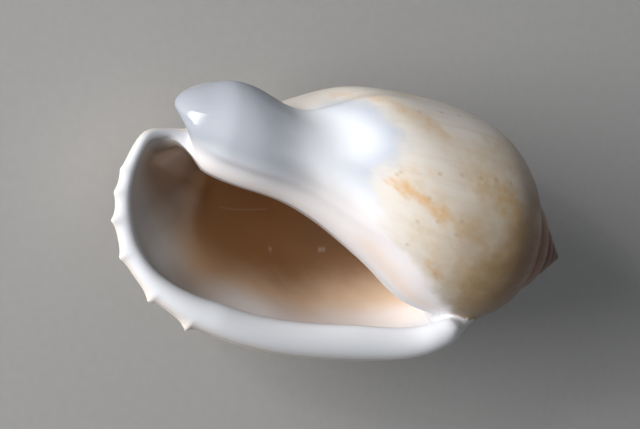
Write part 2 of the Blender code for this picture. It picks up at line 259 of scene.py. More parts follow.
def smooth_curve(knots, points, at):
    """A natural cubic spline through points at these knots, read at other places."""
    knots, points, at = (np.asarray(a, float) for a in (knots, points, at))
    count, gap = len(knots), np.diff(knots)
    matrix, right = np.eye(count), np.zeros_like(points)
    for i in range(1, count - 1):
        matrix[i, i - 1:i + 2] = gap[i - 1], 2 * (gap[i - 1] + gap[i]), gap[i]
        right[i] = 6 * ((points[i + 1] - points[i]) / gap[i] - (points[i] - points[i - 1]) / gap[i - 1])
    bend = np.linalg.solve(matrix, right)
    span = np.clip(np.searchsorted(knots, at, side="right") - 1, 0, count - 2)
    width = gap[span][:, None]
    before = ((knots[span + 1] - at) / gap[span])[:, None]
    after = 1 - before
    curved = bend[span] * (before ** 3 - before) + bend[span + 1] * (after ** 3 - after)
    return points[span] * before + points[span + 1] * after + curved * width ** 2 / 6


def growth(turns):
    """Size of the whorl at this many turns back, 1 at the lip and 0 at the tip."""
    opening = ease((WHORLS - turns) / FIRST_WHORL)
    return WHORL_GROWTH ** -turns * opening


def section_points(turns):
    """The points that the section is drawn through: the whorl at its size, then its base."""
    places = sorted(BASES)
    table = np.array([BASES[p] for p in places]).reshape(len(places), -1)
    place = min(turns + LIP_TURN, places[-1])
    base = smooth_curve(places, table, [place]).reshape(-1, 2)
    return np.vstack([WHORL * growth(turns), base])


def low_shares():
    """Places of the rows below the attachment, with a close group of rows at each tooth."""
    shares = list(np.linspace(0, CORNER_SHARE, LIP_STEPS + 1))
    shares += SHARES_ABOVE_TEETH
    for (place, _), (after, _) in zip(TEETH, TEETH[1:] + [(TEETH_END, 0)]):
        shares += [place - TOOTH_GROUP, place, place + TOOTH_GROUP]
        if after < CANAL_SHARE:
            shares.append((place + after) / 2)
    shares += SHARES_BELOW_TEETH
    shares = np.array(shares + list(np.linspace(CANAL_SHARE, 1, LIP_STEPS + 1)))
    between = np.arange(FINER * (len(shares) - 1) + 1) / FINER
    return np.interp(between, np.arange(len(shares)), shares)


LOW_SHARES = low_shares()
ROWS = TOP_ROWS + len(LOW_SHARES) - 1
EDGE_ROWS = LIP_STEPS * FINER
ROW_PLACES = np.concatenate([np.linspace(-TOP_SHARE, 0, TOP_ROWS + 1), LOW_SHARES[1:]])


class Grower:
    """Works out the shell's columns with one set of sizes."""

    def __init__(self, form):
        self.wall = form.wall / MM
        self.teeth = form.teeth
        self.callus = form.callus / MM
        self.fold = form.fold / MM
        self.groove = form.groove / MM
        self.lip_section = self.section(0.0)

    def section(self, turns):
        """(depth, radius) of each row, from the suture to the canal."""
        points = section_points(turns)
        along = lengths_along(points)
        top = np.linspace(0, along[ATTACH], TOP_ROWS + 1)
        low = along[ATTACH] + (along[-1] - along[ATTACH]) * LOW_SHARES[1:]
        rows = smooth_curve(along, points, np.concatenate([top, low]))
        slope = np.gradient(rows, axis=0)
        outward = np.column_stack([-slope[:, 1], slope[:, 0]])
        raised = self.relief(turns, rows[:, 0]) / (np.linalg.norm(slope, axis=1) + 1e-9)
        return rows + outward * raised[:, None]

    def relief(self, turns, depth):
        """How far callus, fold and groove stand out of the section."""
        place = turns + LIP_TURN
        neck = ease((depth - CALLUS_TOP) / 10) * ease((CALLUS_FOOT - depth) / 3)
        callus = self.callus * ease((turns - CALLUS_TURN) / CALLUS_EDGE)
        fold = self.fold * math.exp(-((turns - FOLD_TURN) / FOLD_WIDTH) ** 2)
        middle = np.interp(place, GROOVE_TURNS, GROOVE_DEPTHS)
        back = ease((place - GROOVE_ENDS[0]) / 0.1) * ease((GROOVE_ENDS[1] - place) / 0.06)
        groove = self.groove * back * np.exp(-((depth - middle) / GROOVE_WIDTH) ** 2)
        return neck * (callus + fold) - groove

    def spire_section(self, turns):
        """The rows of an earlier whorl that show above the suture."""
        full = self.lip_section[:TOP_ROWS + 1]
        rows = full * growth(turns)
        if turns < 1 + SPIRE_BLEND:
            near = self.section(turns)[:TOP_ROWS + 1]
            rows = near + (rows - near) * ease((turns - 1) / SPIRE_BLEND)
        suture = full[-1] * growth(turns + 1) if turns + 1 < WHORLS else np.zeros(2)
        fade = 1 - ease(np.linspace(0, 1, TOP_ROWS + 1))
        return rows + fade[:, None] * (suture - rows[0])

    def outside(self):
        """Columns of the last whorl's outside."""
        columns = [placed(self.section(turns), turns) for turns in wall_turns(1)]
        flare = lip_edge(columns[0]) - columns[0]
        for i, turns in enumerate(wall_turns(1)[:-1]):
            reach = math.exp(-(turns / FLARE) ** 2) * (1 - ease(turns / FLARE_END))
            columns[i] = columns[i] + reach * flare
        return columns

    def toothed(self, columns):
        """The same columns with the teeth drawn out of the ones nearest the lip."""
        teeth = self.tooth_rise(columns[0])
        near = [columns[0] + teeth]
        for column in columns[1:TOOTHED_COLUMNS]:
            back = np.linalg.norm(column - columns[0], axis=1)
            near.append(column + teeth * np.exp(-(back / TOOTH_SWEEP) ** 2)[:, None])
        return near + columns[TOOTHED_COLUMNS:]

    def core(self):
        """Columns of the wall that the hollow winds round, from one turn back."""
        low, high = TOP_ROWS + EDGE_ROWS, ROWS - EDGE_ROWS
        counts = wall_turns(CAVITY_TURNS)
        return [placed(self.section(1 + turns), 1 + turns)[low:high + 1] for turns in counts]

    def spire(self):
        """Columns of the earlier whorls, from one turn back to the tip."""
        counts = range(COLUMNS, round((WHORLS - TIP_TURNS) * COLUMNS) + 1)
        columns = [placed(self.spire_section(i / COLUMNS), i / COLUMNS) for i in counts]
        return columns + [np.zeros((TOP_ROWS + 1, 3))]

    def tooth_rise(self, edge):
        """How far the teeth move each row of the lip's outer edge."""
        along = lengths_along(edge)
        start, length = along[TOP_ROWS], along[-1] - along[TOP_ROWS]
        front, inward = lip_directions(edge)
        height = np.zeros(len(edge))
        for share, tall in TEETH:
            height += tall * np.exp(-np.abs(along - start - share * length) / TOOTH_REACH)
        return (TOOTH_LEAN * front - inward) * (self.teeth * height)[:, None]

    def lip_roll(self, columns):
        """Lines round the lip, from its outer edge to its inner one."""
        edge = columns[0]
        teeth = self.tooth_rise(edge)
        front, inward = lip_directions(edge)
        thick = by_share(LIP_THICKNESS, edge)
        stand = by_share(LIP_FRONT, edge)
        under = columns[-1]
        lines = []
        for step in range(1, EDGE_ROWS + 1):
            turn = math.pi * step / EDGE_ROWS
            line = edge + inward * (thick * (1 - math.cos(turn)) / 2)[:, None]
            line = line + front * (stand * math.sin(turn))[:, None]
            away = np.linalg.norm(line - edge, axis=1)
            line = line + teeth * np.exp(-(away / TOOTH_SWEEP) ** 2)[:, None]
            lines.append(joined(line, under[TOP_ROWS + step], under[ROWS - step], *LIP_JOINS))
        return lines

    def wall_inside(self, columns, core_columns, lip_inner):
        """Columns of the hollow's outer wall, from the lip's inner edge to its deep end."""
        swelling = None
        lines = []
        for i, turns in enumerate(wall_turns(CAVITY_TURNS)):
            sweep = columns[i + 1] - columns[max(i - 1, 0)]
            inward = unit(np.cross(sweep, np.gradient(columns[i], axis=0)))
            line = columns[i] + inward * self.wall * WHORL_GROWTH ** -turns
            if i == 0:
                swelling = lip_inner - line
                continue
            line = line + math.exp(-(turns / VARIX) ** 2) * swelling
            lines.append(joined(line, core_columns[i][0], core_columns[i][-1], *WALL_JOINS))
        return sloped(lines, lip_inner)


def sloped(lines, lip_inner):
    """The hollow's outer wall filled to an even slope where it runs out to the canal."""
    turns = np.array(wall_turns(CAVITY_TURNS)[1:])
    last = int(np.argmin(abs(turns - SLOPE_TURNS)))
    rise, fall = SLOPE_PLACES
    filled = ease((ROW_PLACES - rise[0]) / (rise[1] - rise[0]))
    filled = filled * ease((fall[1] - ROW_PLACES) / (fall[1] - fall[0]))
    for i in range(last):
        share = turns[i] / turns[last]
        straight = lip_inner + share * (lines[last] - lip_inner)
        lines[i] = lines[i] + SLOPE_FILL * filled[:, None] * (straight - lines[i])
    return lines


def placed(rows, turns):
    """Section rows set round the coil, on the columella line."""
    depth, radius = rows[:, 0], rows[:, 1]
    middle = smooth_curve(COLUMELLA[:, 0], COLUMELLA[:, 1:], depth)
    angle = FULL_TURN * (turns + LIP_TURN)
    x = middle[:, 0] + radius * math.cos(angle)
    y = middle[:, 1] + radius * math.sin(angle)
    return np.column_stack([x, y, -depth])


def lip_edge(first):
    """The lip's outer edge, one point for each row of the first column."""
    inner = np.array(LIP_EDGE) * (1, 1, -1)
    points = np.vstack([first[0], inner, first[-1]])
    along, rows = lengths_along(points), lengths_along(first)
    return smooth_curve(along, points, rows / rows[-1] * along[-1])


def by_share(table, line):
    """Values given by share of the lip's length, read at each row of the line."""
    along = lengths_along(line)
    shares, values = zip(*table)
    return np.interp(along / along[-1], shares, values)


def wall_turns(last):
    """Turns of the columns from the lip to the last, with two more close to the lip."""
    return NEAR_LIP + [i / COLUMNS for i in range(1, round(last * COLUMNS) + 1)]


def unit(vectors):
    return vectors / (np.linalg.norm(vectors, axis=1)[:, None] + 1e-9)


def joined(line, start, end, first_reach, last_reach):
    """The line with its ends moved to start and end, the move fading over these lengths."""
    along = lengths_along(line)
    near_start = (1 - ease(along / first_reach))[:, None]
    near_end = (1 - ease((along[-1] - along) / last_reach))[:, None]
    return line + near_start * (start - line[0]) + near_end * (end - line[-1])


def lip_directions(edge):
    """Directions to the front and to the inside at each row of the lip."""
    along = unit(np.gradient(edge, axis=0))
    front = np.array([0.0, -1.0, 0.0])
    front = unit(front - along * (along @ front)[:, None])
    return front, np.cross(along, front)


MARK_WAVE = 0.35           # how far the edges of the marks wander
# Marks on the whorl, each as places (turns, section place), width in mm and strength
FLAMES = [
    ([(0.775, 0.392), (0.777, 0.355), (0.786, 0.315), (0.790, 0.284), (0.803, 0.240)], 1.15, 1.0),
    ([(0.762, 0.372), (0.777, 0.355)], 0.9, 0.5),
    ([(0.803, 0.240), (0.806, 0.190), (0.802, 0.134)], 1.4, 0.45),
    ([(0.745, 0.073), (0.765, 0.040), (0.790, 0.018), (0.830, 0.043)], 1.5, 0.6),
    ([(0.731, 0.095), (0.752, 0.060)], 1.0, 0.6),
    ([(0.822, 0.117), (0.815, 0.204)], 1.1, 0.5),
    ([(0.900, 0.206), (0.893, 0.226), (0.885, 0.246)], 0.9, 0.75),
    ([(0.600, 0.385), (0.630, 0.334), (0.645, 0.300), (0.660, 0.254), (0.680, 0.221)], 1.3, 0.5),
    ([(0.545, 0.480), (0.570, 0.446), (0.600, 0.385)], 1.3, 0.5),
    ([(0.678, 0.008), (0.7125, 0.114), (0.731, 0.223), (0.750, 0.358)], 0.4, 0.22),
    ([(0.845, 0.175), (0.870, 0.160), (0.885, 0.120)], 1.0, 0.4),
]
CLOUDS = [
    ([(0.620, -0.029), (0.660, 0.068), (0.700, 0.164)], 3.4, 0.45),
    ([(0.740, 0.110), (0.770, 0.010), (0.850, 0.020)], 4.4, 0.9),
    ([(0.850, 0.050), (0.890, 0.110), (0.930, 0.060)], 5.0, 0.95),
    ([(0.680, 0.011), (0.720, 0.188)], 3.0, 0.45),
    ([(0.735, 0.150), (0.745, 0.060)], 3.0, 0.8),
    ([(0.770, 0.330), (0.800, 0.235), (0.805, 0.170)], 3.6, 0.4),
    ([(0.840, 0.290), (0.860, 0.230), (0.905, 0.210)], 3.4, 0.4),
    ([(0.640, 0.330), (0.680, 0.235)], 3.0, 0.35),
    ([(0.910, 0.252), (0.970, 0.370)], 3.2, 0.3),
    ([(0.560, 0.300), (0.520, 0.100)], 3.2, 0.45),
    ([(0.460, 0.400), (0.440, 0.250), (0.450, 0.080)], 3.4, 0.55),
    ([(0.370, 0.300), (0.355, 0.150)], 3.0, 0.5),
    ([(0.290, 0.420), (0.270, 0.300)], 2.8, 0.45),
    ([(0.250, 0.180), (0.240, 0.020)], 3.2, 0.55),
    ([(0.160, 0.360), (0.145, 0.200), (0.150, 0.090)], 2.8, 0.5),
    ([(0.080, 0.260), (0.070, 0.100)], 2.4, 0.45),
]


def mark_strength(marks, turns, places):
    """How strongly the marks show at each place of a line of the skin, their edges a little wavy."""
    at = np.column_stack([np.full(len(places), turns * TURN_LENGTH), np.array(places) * SECTION_LENGTH])
    shown = np.zeros(len(at))
    if turns > 1:
        return shown
    across, down = at[:, 0], at[:, 1]
    at = at + MARK_WAVE * np.column_stack([
        np.sin(1.9 * down + 0.7 * across) + np.sin(4.1 * down - 1.3 * across),
        np.sin(1.7 * across - 0.9 * down) + np.sin(3.7 * across + 1.1 * down)])
    for line, width, strength in marks:
        knots = np.array(line) * (TURN_LENGTH, SECTION_LENGTH)
        for start, end in zip(knots, knots[1:]):
            run = end - start
            share = np.clip((at - start) @ run / (run @ run), 0, 1)
            away = np.linalg.norm(at - start - share[:, None] * run, axis=1)
            shown = np.maximum(shown, strength * (1 - ease(away / width)))
    return shown


class Skin:
    """The shell's skin while it is swept. Each vertex keeps its place on the coil."""

    def __init__(self):
        self.bm = bmesh.new()
        self.coil = self.bm.verts.layers.float_vector.new("coil")
        self.zone = self.bm.verts.layers.float_vector.new("zone")
        self.marks = self.bm.verts.layers.float_vector.new("marks")

    def set_line(self, verts, points, turns, places, lip=0.0, hollow=0.0):
        """Puts a line of vertices in place, with its turns, section places and zone."""
        flames, clouds = (mark_strength(marks, turns, places) for marks in (FLAMES, CLOUDS))
        for i, (vert, point) in enumerate(zip(verts, points)):
            vert.co = Vector(point) * MM
            vert[self.coil] = (turns, places[i], 0.0)
            vert[self.zone] = (lip, hollow, 0.0)
            vert[self.marks] = (flames[i], clouds[i], 0.0)

    def chain(self, points, *given):
        """A line of vertices and edges."""
        verts = [self.bm.verts.new() for _ in points]
        for pair in zip(verts, verts[1:]):
            self.bm.edges.new(pair)
        self.set_line(verts, points, *given)
        return verts

    def extruded(self, verts, points, *given):
        """Extrudes a line of vertices, and sets the new ones at points."""
        edges = [self.bm.edges.get(pair) for pair in zip(verts, verts[1:])]
        made = bmesh.ops.extrude_edge_only(self.bm, edges=edges)["geom"]
        fresh = {v for v in made if isinstance(v, bmesh.types.BMVert)}
        moved = [
            next(e.other_vert(v) for e in v.link_edges if e.other_vert(v) in fresh) for v in verts]
        self.set_line(moved, points, *given)
        return moved

    def soften(self, centre, reach):
        """Rounds off the creases round a place."""
        verts = [v for v in self.bm.verts if (v.co - centre).length < reach]
        for _ in range(SOFT_PASSES):
            bmesh.ops.smooth_vert(
                self.bm, verts=verts, factor=0.5, use_axis_x=True, use_axis_y=True, use_axis_z=True)

    def close(self):
        """Gathers the tip of the spire, welds the seams and closes the hollow's deep end."""
        bm = self.bm
        tip = [v for v in bm.verts if v.co.length < TIP_ROUND * MM]
        bmesh.ops.pointmerge(bm, verts=tip, merge_co=(0, 0, 0))
        bmesh.ops.remove_doubles(bm, verts=bm.verts, dist=WELD)
        slivers = [e for e in bm.edges if e.verts[0].co.length < 2 * TIP_ROUND * MM]
        bmesh.ops.dissolve_degenerate(bm, dist=3 * WELD, edges=slivers)
        open_edges = [e for e in bm.edges if e.is_boundary]
        bmesh.ops.holes_fill(bm, edges=open_edges, sides=0)
        bmesh.ops.triangulate(bm, faces=[f for f in bm.faces if len(f.verts) > 4])
        bmesh.ops.recalc_face_normals(bm, faces=bm.faces)


def grow_shell(form):
    """Sweeps the outside, the spire, the lip and the hollow as one skin."""
    grower = Grower(form)
    columns = grower.outside()
    core_columns = grower.core()
    roll = grower.lip_roll(columns)
    inside = grower.wall_inside(columns, core_columns, roll[-1])
    columns = grower.toothed(columns)
    skin = Skin()
    start = skin.chain(columns[0], 0.0, ROW_PLACES)
    line = start
    for turns, column in zip(wall_turns(1)[1:], columns[1:]):
        line = skin.extruded(line, column, turns, ROW_PLACES)
    spire_line = line[:TOP_ROWS + 1]
    spire = grower.spire()
    for i, column in enumerate(spire[1:], 1):
        spire_line = skin.extruded(spire_line, column, 1 + i / COLUMNS, ROW_PLACES[:TOP_ROWS + 1])
    low, high = TOP_ROWS + EDGE_ROWS, ROWS - EDGE_ROWS
    core_line = line[low:high + 1]
    for turns, column in zip(wall_turns(CAVITY_TURNS)[1:], core_columns[1:]):
        core_line = skin.extruded(core_line, column, 1 + turns, ROW_PLACES[low:high + 1], 0.0, turns)
    line = start
    for step, column in enumerate(roll, 1):
        line = skin.extruded(line, column, 0.0, ROW_PLACES, step / EDGE_ROWS)
    for turns, column in zip(wall_turns(CAVITY_TURNS)[1:], inside):
        line = skin.extruded(line, column, turns, ROW_PLACES, 1.0, turns)
    skin.close()
    for centre, reach in SOFTENED:
        for share in SOFT_SHARES:
            skin.soften(Vector(centre) * MM, reach * share * MM)
    return skin.bm


def rest_turn():
    """Turns the shell's own frame onto its back."""
    onto_back = Matrix(((0, 0, 1, 0), (-1, 0, 0, 0), (0, -1, 0, 0), (0, 0, 0, 1)))
    return Matrix.Rotation(REST_PITCH, 4, "Y") @ Matrix.Rotation(REST_ROLL, 4, "X") @ onto_back


def lay_down(bm):
    """Turns the shell onto its back, with the small worn flat that it rests on."""
    bmesh.ops.transform(bm, matrix=rest_turn(), verts=bm.verts)
    spans = [(min(c), max(c)) for c in zip(*(v.co for v in bm.verts))]
    middle = Vector([(low + high) / 2 for low, high in spans])
    middle.z = spans[2][0] + WORN_FLAT * MM
    bmesh.ops.translate(bm, verts=bm.verts, vec=-middle)
    skin = list(bm.verts) + list(bm.edges) + list(bm.faces)
    bmesh.ops.bisect_plane(
        bm, geom=skin, dist=WELD, plane_co=(0, 0, 0), plane_no=(0, 0, 1), clear_inner=True)
    rim = [e for e in bm.edges if e.is_boundary and all(abs(v.co.z) < 2 * WELD for v in e.verts)]
    for vert in {v for e in rim for v in e.verts}:
        vert.co.z = 0.0
    flat = bmesh.ops.holes_fill(bm, edges=rim, sides=0)["faces"]
    bmesh.ops.triangulate(bm, faces=flat)
    return middle


class Bench:
    """Adds nodes to a node tree and joins them up."""

    def __init__(self, tree):
        self.tree = tree

    def node(self, kind, **settings):
        made = self.tree.nodes.new(kind)
        for name, value in settings.items():
            setattr(made, name, value)
        return made

    def plug(self, socket, value):
        """Joins a socket to another one, or gives it a plain value."""
        if isinstance(value, bpy.types.NodeSocket):
            self.tree.links.new(value, socket)
        else:
            socket.default_value = value

    def math(self, operation, *values, clamp=False):
        made = self.node("ShaderNodeMath", operation=operation, use_clamp=clamp)
        for socket, value in zip(made.inputs, values):
            self.plug(socket, value)
        return made.outputs[0]

    def times(self, first, second):
        return self.math("MULTIPLY", first, second)

    def vector(self, operation, *values, scale=None):
        made = self.node("ShaderNodeVectorMath", operation=operation)
        for socket, value in zip(made.inputs, values):
            self.plug(socket, value)
        if scale is not None:
            self.plug(made.inputs["Scale"], scale)
        return made.outputs["Value" if operation in ("DOT_PRODUCT", "LENGTH", "DISTANCE") else "Vector"]

    def step(self, value, low, high, to_low=0.0, to_high=1.0):
        """Rises smoothly from one value to another between low and high."""
        made = self.node("ShaderNodeMapRange", interpolation_type="SMOOTHSTEP")
        for socket, given in zip(made.inputs, (value, low, high, to_low, to_high)):
            self.plug(socket, given)
        return made.outputs[0]

    def mix(self, share, first, second):
        """One colour run into another by a share."""
        made = self.node("ShaderNodeMix", data_type="RGBA", clamp_factor=True)
        self.plug(made.inputs[0], share)
        self.plug(made.inputs[6], rgba(first))
        self.plug(made.inputs[7], rgba(second))
        return made.outputs[2]

    def noise(self, where, scale, detail=2.0, roughness=0.5):
        """Soft unevenness of this scale."""
        made = self.node("ShaderNodeTexNoise")
        for name, value in (
                ("Vector", where), ("Scale", scale), ("Detail", detail), ("Roughness", roughness)):
            self.plug(made.inputs[name], value)
        return made.outputs["Fac"]

    def curve(self, value, points, low, high):
        """Reads a smooth line drawn through points, over value from low to high."""
        made = self.node("ShaderNodeFloatCurve")
        line = made.mapping.curves[0]
        while len(line.points) < len(points):
            line.points.new(0.5, 0.5)
        for point, (at, height) in zip(line.points, points):
            point.location = ((at - low) / (high - low), height)
        made.mapping.update()
        self.plug(made.inputs["Value"], self.math(
            "DIVIDE", self.math("SUBTRACT", value, low), high - low, clamp=True))
        return made.outputs[0]

    def most(self, values):
        """The largest of several values."""
        best = values[0]
        for value in values[1:]:
            best = self.math("MAXIMUM", best, value)
        return best


def rgba(colour):
    """A colour with its fourth value, or the socket as it is."""
    if isinstance(colour, bpy.types.NodeSocket):
        return colour
    return (*colour[:3], 1.0)


# Dots on the whorl, as (turns, section place)
DOTS = [
    (0.719, 0.059), (0.722, 0.105), (0.7275, 0.151), (0.731, 0.205), (0.739, 0.265), (0.753, 0.364),
    (0.759, 0.373), (0.775, 0.027), (0.600, 0.107), (0.611, 0.162), (0.6175, 0.217), (0.633, 0.289),
    (0.822, 0.202), (0.906, 0.211), (0.900, 0.217), (0.8125, 0.258), (0.825, 0.308), (0.872, 0.316),
    (0.800, 0.196), (0.781, 0.288),
]
# Rows of dots round the back, as (section place, first place in turns, turns between dots)
DOT_ROWS = [(0.11, 0.07, 0.062), (0.22, 0.05, 0.071), (0.34, 0.09, 0.066)]
# Thin scratch and specks in the hollow, as (turns, section place)
HAIR = [(0.245, 0.41), (0.232, 0.45), (0.215, 0.50), (0.198, 0.56)]
SPECKS = [(0.235, 0.175), (0.233, 0.185), (0.195, 0.350)]
# Gleam along the tip of the canal
GLEAM = [(0.745, 0.860), (0.765, 0.872), (0.787, 0.884)]
# Upper border of the white glaze, as (turns, section place)
GLAZE_BORDER = [
    (0.50, 0.52), (0.55, 0.48), (0.60, 0.438), (0.65, 0.370), (0.70, 0.338), (0.74, 0.374),
    (0.78, 0.422), (0.82, 0.400), (0.87, 0.366), (0.90, 0.264), (0.95, 0.15), (1.00, 0.05),
]
# Turns into the hollow where its brown begins, by section place
BROWN_START = [
    (0.0, 0.160), (0.1, 0.150), (0.2, 0.125), (0.3, 0.100), (0.4, 0.080), (0.5, 0.065),
    (0.6, 0.060), (0.8, 0.060), (1.0, 0.060),
]
# Section place where the brown gives way to grey towards the canal, by turns into the hollow
BROWN_END = [(0.0, 0.52), (0.08, 0.575), (0.13, 0.61), (0.18, 0.655), (0.22, 0.70), (0.3, 0.80), (0.5, 0.9)]

# Shades that the skin's colours run into; the olive and shoulder browns are partly painted shade
PALE_CREAM = (0.72, 0.66, 0.60)
GROWTH_LINE = (0.58, 0.45, 0.32)
CLOUD_TAN = (0.56, 0.39, 0.20)
# Olive band: the whorl's own olive, deepened as painted shade where the whorl turns from the light
OLIVE_AND_SHADE = (0.26, 0.17, 0.075)
# Shoulder brown: the whorl's own brown, deepened as painted shade where the whorl turns from the light
SHOULDER_BROWN_AND_SHADE = (0.25, 0.12, 0.06)
FIRST_EARLIER = (0.46, 0.31, 0.20)
NEXT_EARLIER = (0.24, 0.11, 0.055)
UPPER_GLAZE_GREY = (0.40, 0.44, 0.52)
WARM_GLAZE = (0.80, 0.74, 0.72)
VEIN = (0.74, 0.62, 0.46)
PEACH = (0.80, 0.66, 0.57)
SLOPE_GREY = (0.50, 0.47, 0.45)
SLOPE_BROWN = (0.46, 0.35, 0.27)
SLOPE_PEACH = (0.92, 0.70, 0.55)
PALE_ABOVE = (0.95, 0.88, 0.84)
PALE_BELOW = (0.28, 0.21, 0.16)
TAN_ABOVE = (0.90, 0.68, 0.48)
TAN_BELOW = (0.46, 0.28, 0.16)
DEEP_ABOVE = (0.36, 0.20, 0.10)
SPECK = (0.85, 0.76, 0.62)
LIP_OUTSIDE = (0.66, 0.58, 0.52)
CLEAR_GREY = (0.31, 0.33, 0.37)
GROWTH_LINE_RISE = 0.08 * MM
COAT_ROUGHNESS = 0.06


def stroke(bench, where, start, end, width):
    """1 on a straight stroke between two places, fading to 0 at its width."""
    start = Vector((start[0] * TURN_LENGTH, start[1] * SECTION_LENGTH, 0))
    end = Vector((end[0] * TURN_LENGTH, end[1] * SECTION_LENGTH, 0))
    run = end - start
    away = bench.vector("SUBTRACT", where, tuple(start))
    if run.length > 0:
        share = bench.vector("DOT_PRODUCT", away, tuple(run / run.length_squared))
        share = bench.math("MULTIPLY", share, 1.0, clamp=True)
        along = bench.vector("SCALE", tuple(run), scale=share)
        away = bench.vector("SUBTRACT", away, along)
    return bench.step(bench.vector("LENGTH", away), 0.0, width, 1.0, 0.0)


def carried(bench, name):
    """The three values that the skin carries under this name."""
    values = bench.node("ShaderNodeSeparateXYZ")
    bench.plug(
        values.inputs[0], bench.node("ShaderNodeAttribute", attribute_name=name).outputs["Vector"])
    return values.outputs


def spread(bench, turns, place):
    """The coil's places unrolled, in millimetres."""
    made = bench.node("ShaderNodeCombineXYZ")
    bench.plug(made.inputs[0], bench.times(turns, TURN_LENGTH))
    bench.plug(made.inputs[1], bench.times(place, SECTION_LENGTH))
    return made.outputs[0]


def scaled(bench, where, x, y):
    """The places stretched along the coil and along the section."""
    return bench.vector("MULTIPLY", where, (x, y, 1.0))


def whorl_colour(bench, colours, where, turns, place):
    """Cream ground with growth lines, clouds, flames and dots; olive and brown near the suture, partly
    painted shade; darker towards the spire.
    """
    body = bench.node("ShaderNodeTexCoord").outputs["Object"]
    broad = bench.noise(body, 160.0, 3.0, 0.55)
    ground = bench.mix(bench.step(broad, 0.35, 0.7), colours.whorl, PALE_CREAM)
    lines = bench.noise(scaled(bench, where, 1.2, 0.06), 1.0, 4.0, 0.6)
    ground = bench.mix(bench.step(lines, 0.5, 0.75, 0.0, 0.35), ground, GROWTH_LINE)
    flames, clouds, _ = carried(bench, "marks")
    patchy = bench.step(bench.noise(where, 0.9, 3.0, 0.6), 0.30, 0.62, 0.5, 1.0)
    ground = bench.mix(bench.times(clouds, patchy), ground, CLOUD_TAN)
    ground = bench.mix(bench.times(flames, patchy), ground, colours.flame)
    around = [(first + gap * i, place_at) for place_at, first, gap in DOT_ROWS for i in range(7)]
    dots = bench.most([stroke(bench, where, at, at, 0.45) for at in DOTS + around])
    ground = bench.mix(bench.times(dots, 0.4), ground, colours.dot)
    # Olive band near the suture, partly painted shade on the side turned from the light
    olive_and_shade = bench.times(bench.step(place, 0.36, 0.03), bench.step(turns, 0.62, 0.84))
    olive_and_shade = bench.times(olive_and_shade, bench.step(broad, 0.25, 0.65, 0.5, 0.95))
    ground = bench.mix(olive_and_shade, ground, OLIVE_AND_SHADE)
    # Brown shoulder at the suture, partly painted shade on the side turned from the light
    shoulder_and_shade = bench.times(bench.step(place, 0.06, -0.07), bench.step(turns, 0.30, 0.72, 0.55, 1.0))
    shoulder_and_shade = bench.times(shoulder_and_shade, bench.step(broad, 0.2, 0.6, 0.55, 0.95))
    ground = bench.mix(shoulder_and_shade, ground, SHOULDER_BROWN_AND_SHADE)
    earlier = bench.mix(bench.step(turns, 1.1, 1.7), FIRST_EARLIER, NEXT_EARLIER)
    earlier = bench.mix(bench.step(turns, 1.9, 3.0), earlier, colours.spire)
    return bench.mix(bench.step(turns, 0.95, 1.08), ground, earlier)


def glaze_share(bench, where, turns, place):
    """1 where the white glaze covers the whorl."""
    border = bench.curve(turns, GLAZE_BORDER, 0.5, 1.0)
    uneven = bench.noise(where, 0.35, 3.0, 0.5)
    over = bench.math("SUBTRACT", place, border)
    over = bench.math("ADD", over, bench.times(bench.math("SUBTRACT", uneven, 0.5), 0.10))
    share = bench.step(over, -0.03, 0.05)
    return bench.times(share, bench.step(turns, 0.53, 0.60))


def glaze_colour(bench, colours, where, turns, place):
    """White, bluish grey towards its upper border, and clouded and clear towards the canal."""
    border = bench.curve(turns, GLAZE_BORDER, 0.5, 1.0)
    # Bluish grey along the glaze's upper border
    upper_grey = bench.step(bench.math("SUBTRACT", place, border), 0.14, 0.0)
    upper_grey = bench.times(upper_grey, bench.step(turns, 0.86, 0.76))
    colour = bench.mix(bench.times(upper_grey, 0.8), colours.callus, UPPER_GLAZE_GREY)
    warm = bench.times(bench.step(turns, 0.80, 0.88), 0.8)
    colour = bench.mix(warm, colour, WARM_GLAZE)
    uneven = bench.times(bench.math("SUBTRACT", bench.noise(where, 0.12, 1.0), 0.5), 0.10)
    lower = bench.math("ADD", place, uneven)
    vein = stroke(bench, where, (0.795, 0.80), (0.835, 0.70), 1.6)
    colour = bench.mix(bench.times(vein, 0.35), colour, VEIN)
    peach = stroke(bench, where, (0.935, 0.40), (1.0, 0.19), 3.6)
    colour = bench.mix(bench.times(peach, 0.7), colour, PEACH)
    canal = bench.times(bench.step(lower, 0.55, 0.74), bench.step(turns, 0.98, 0.84))
    return bench.mix(canal, colour, CLEAR_GREY)


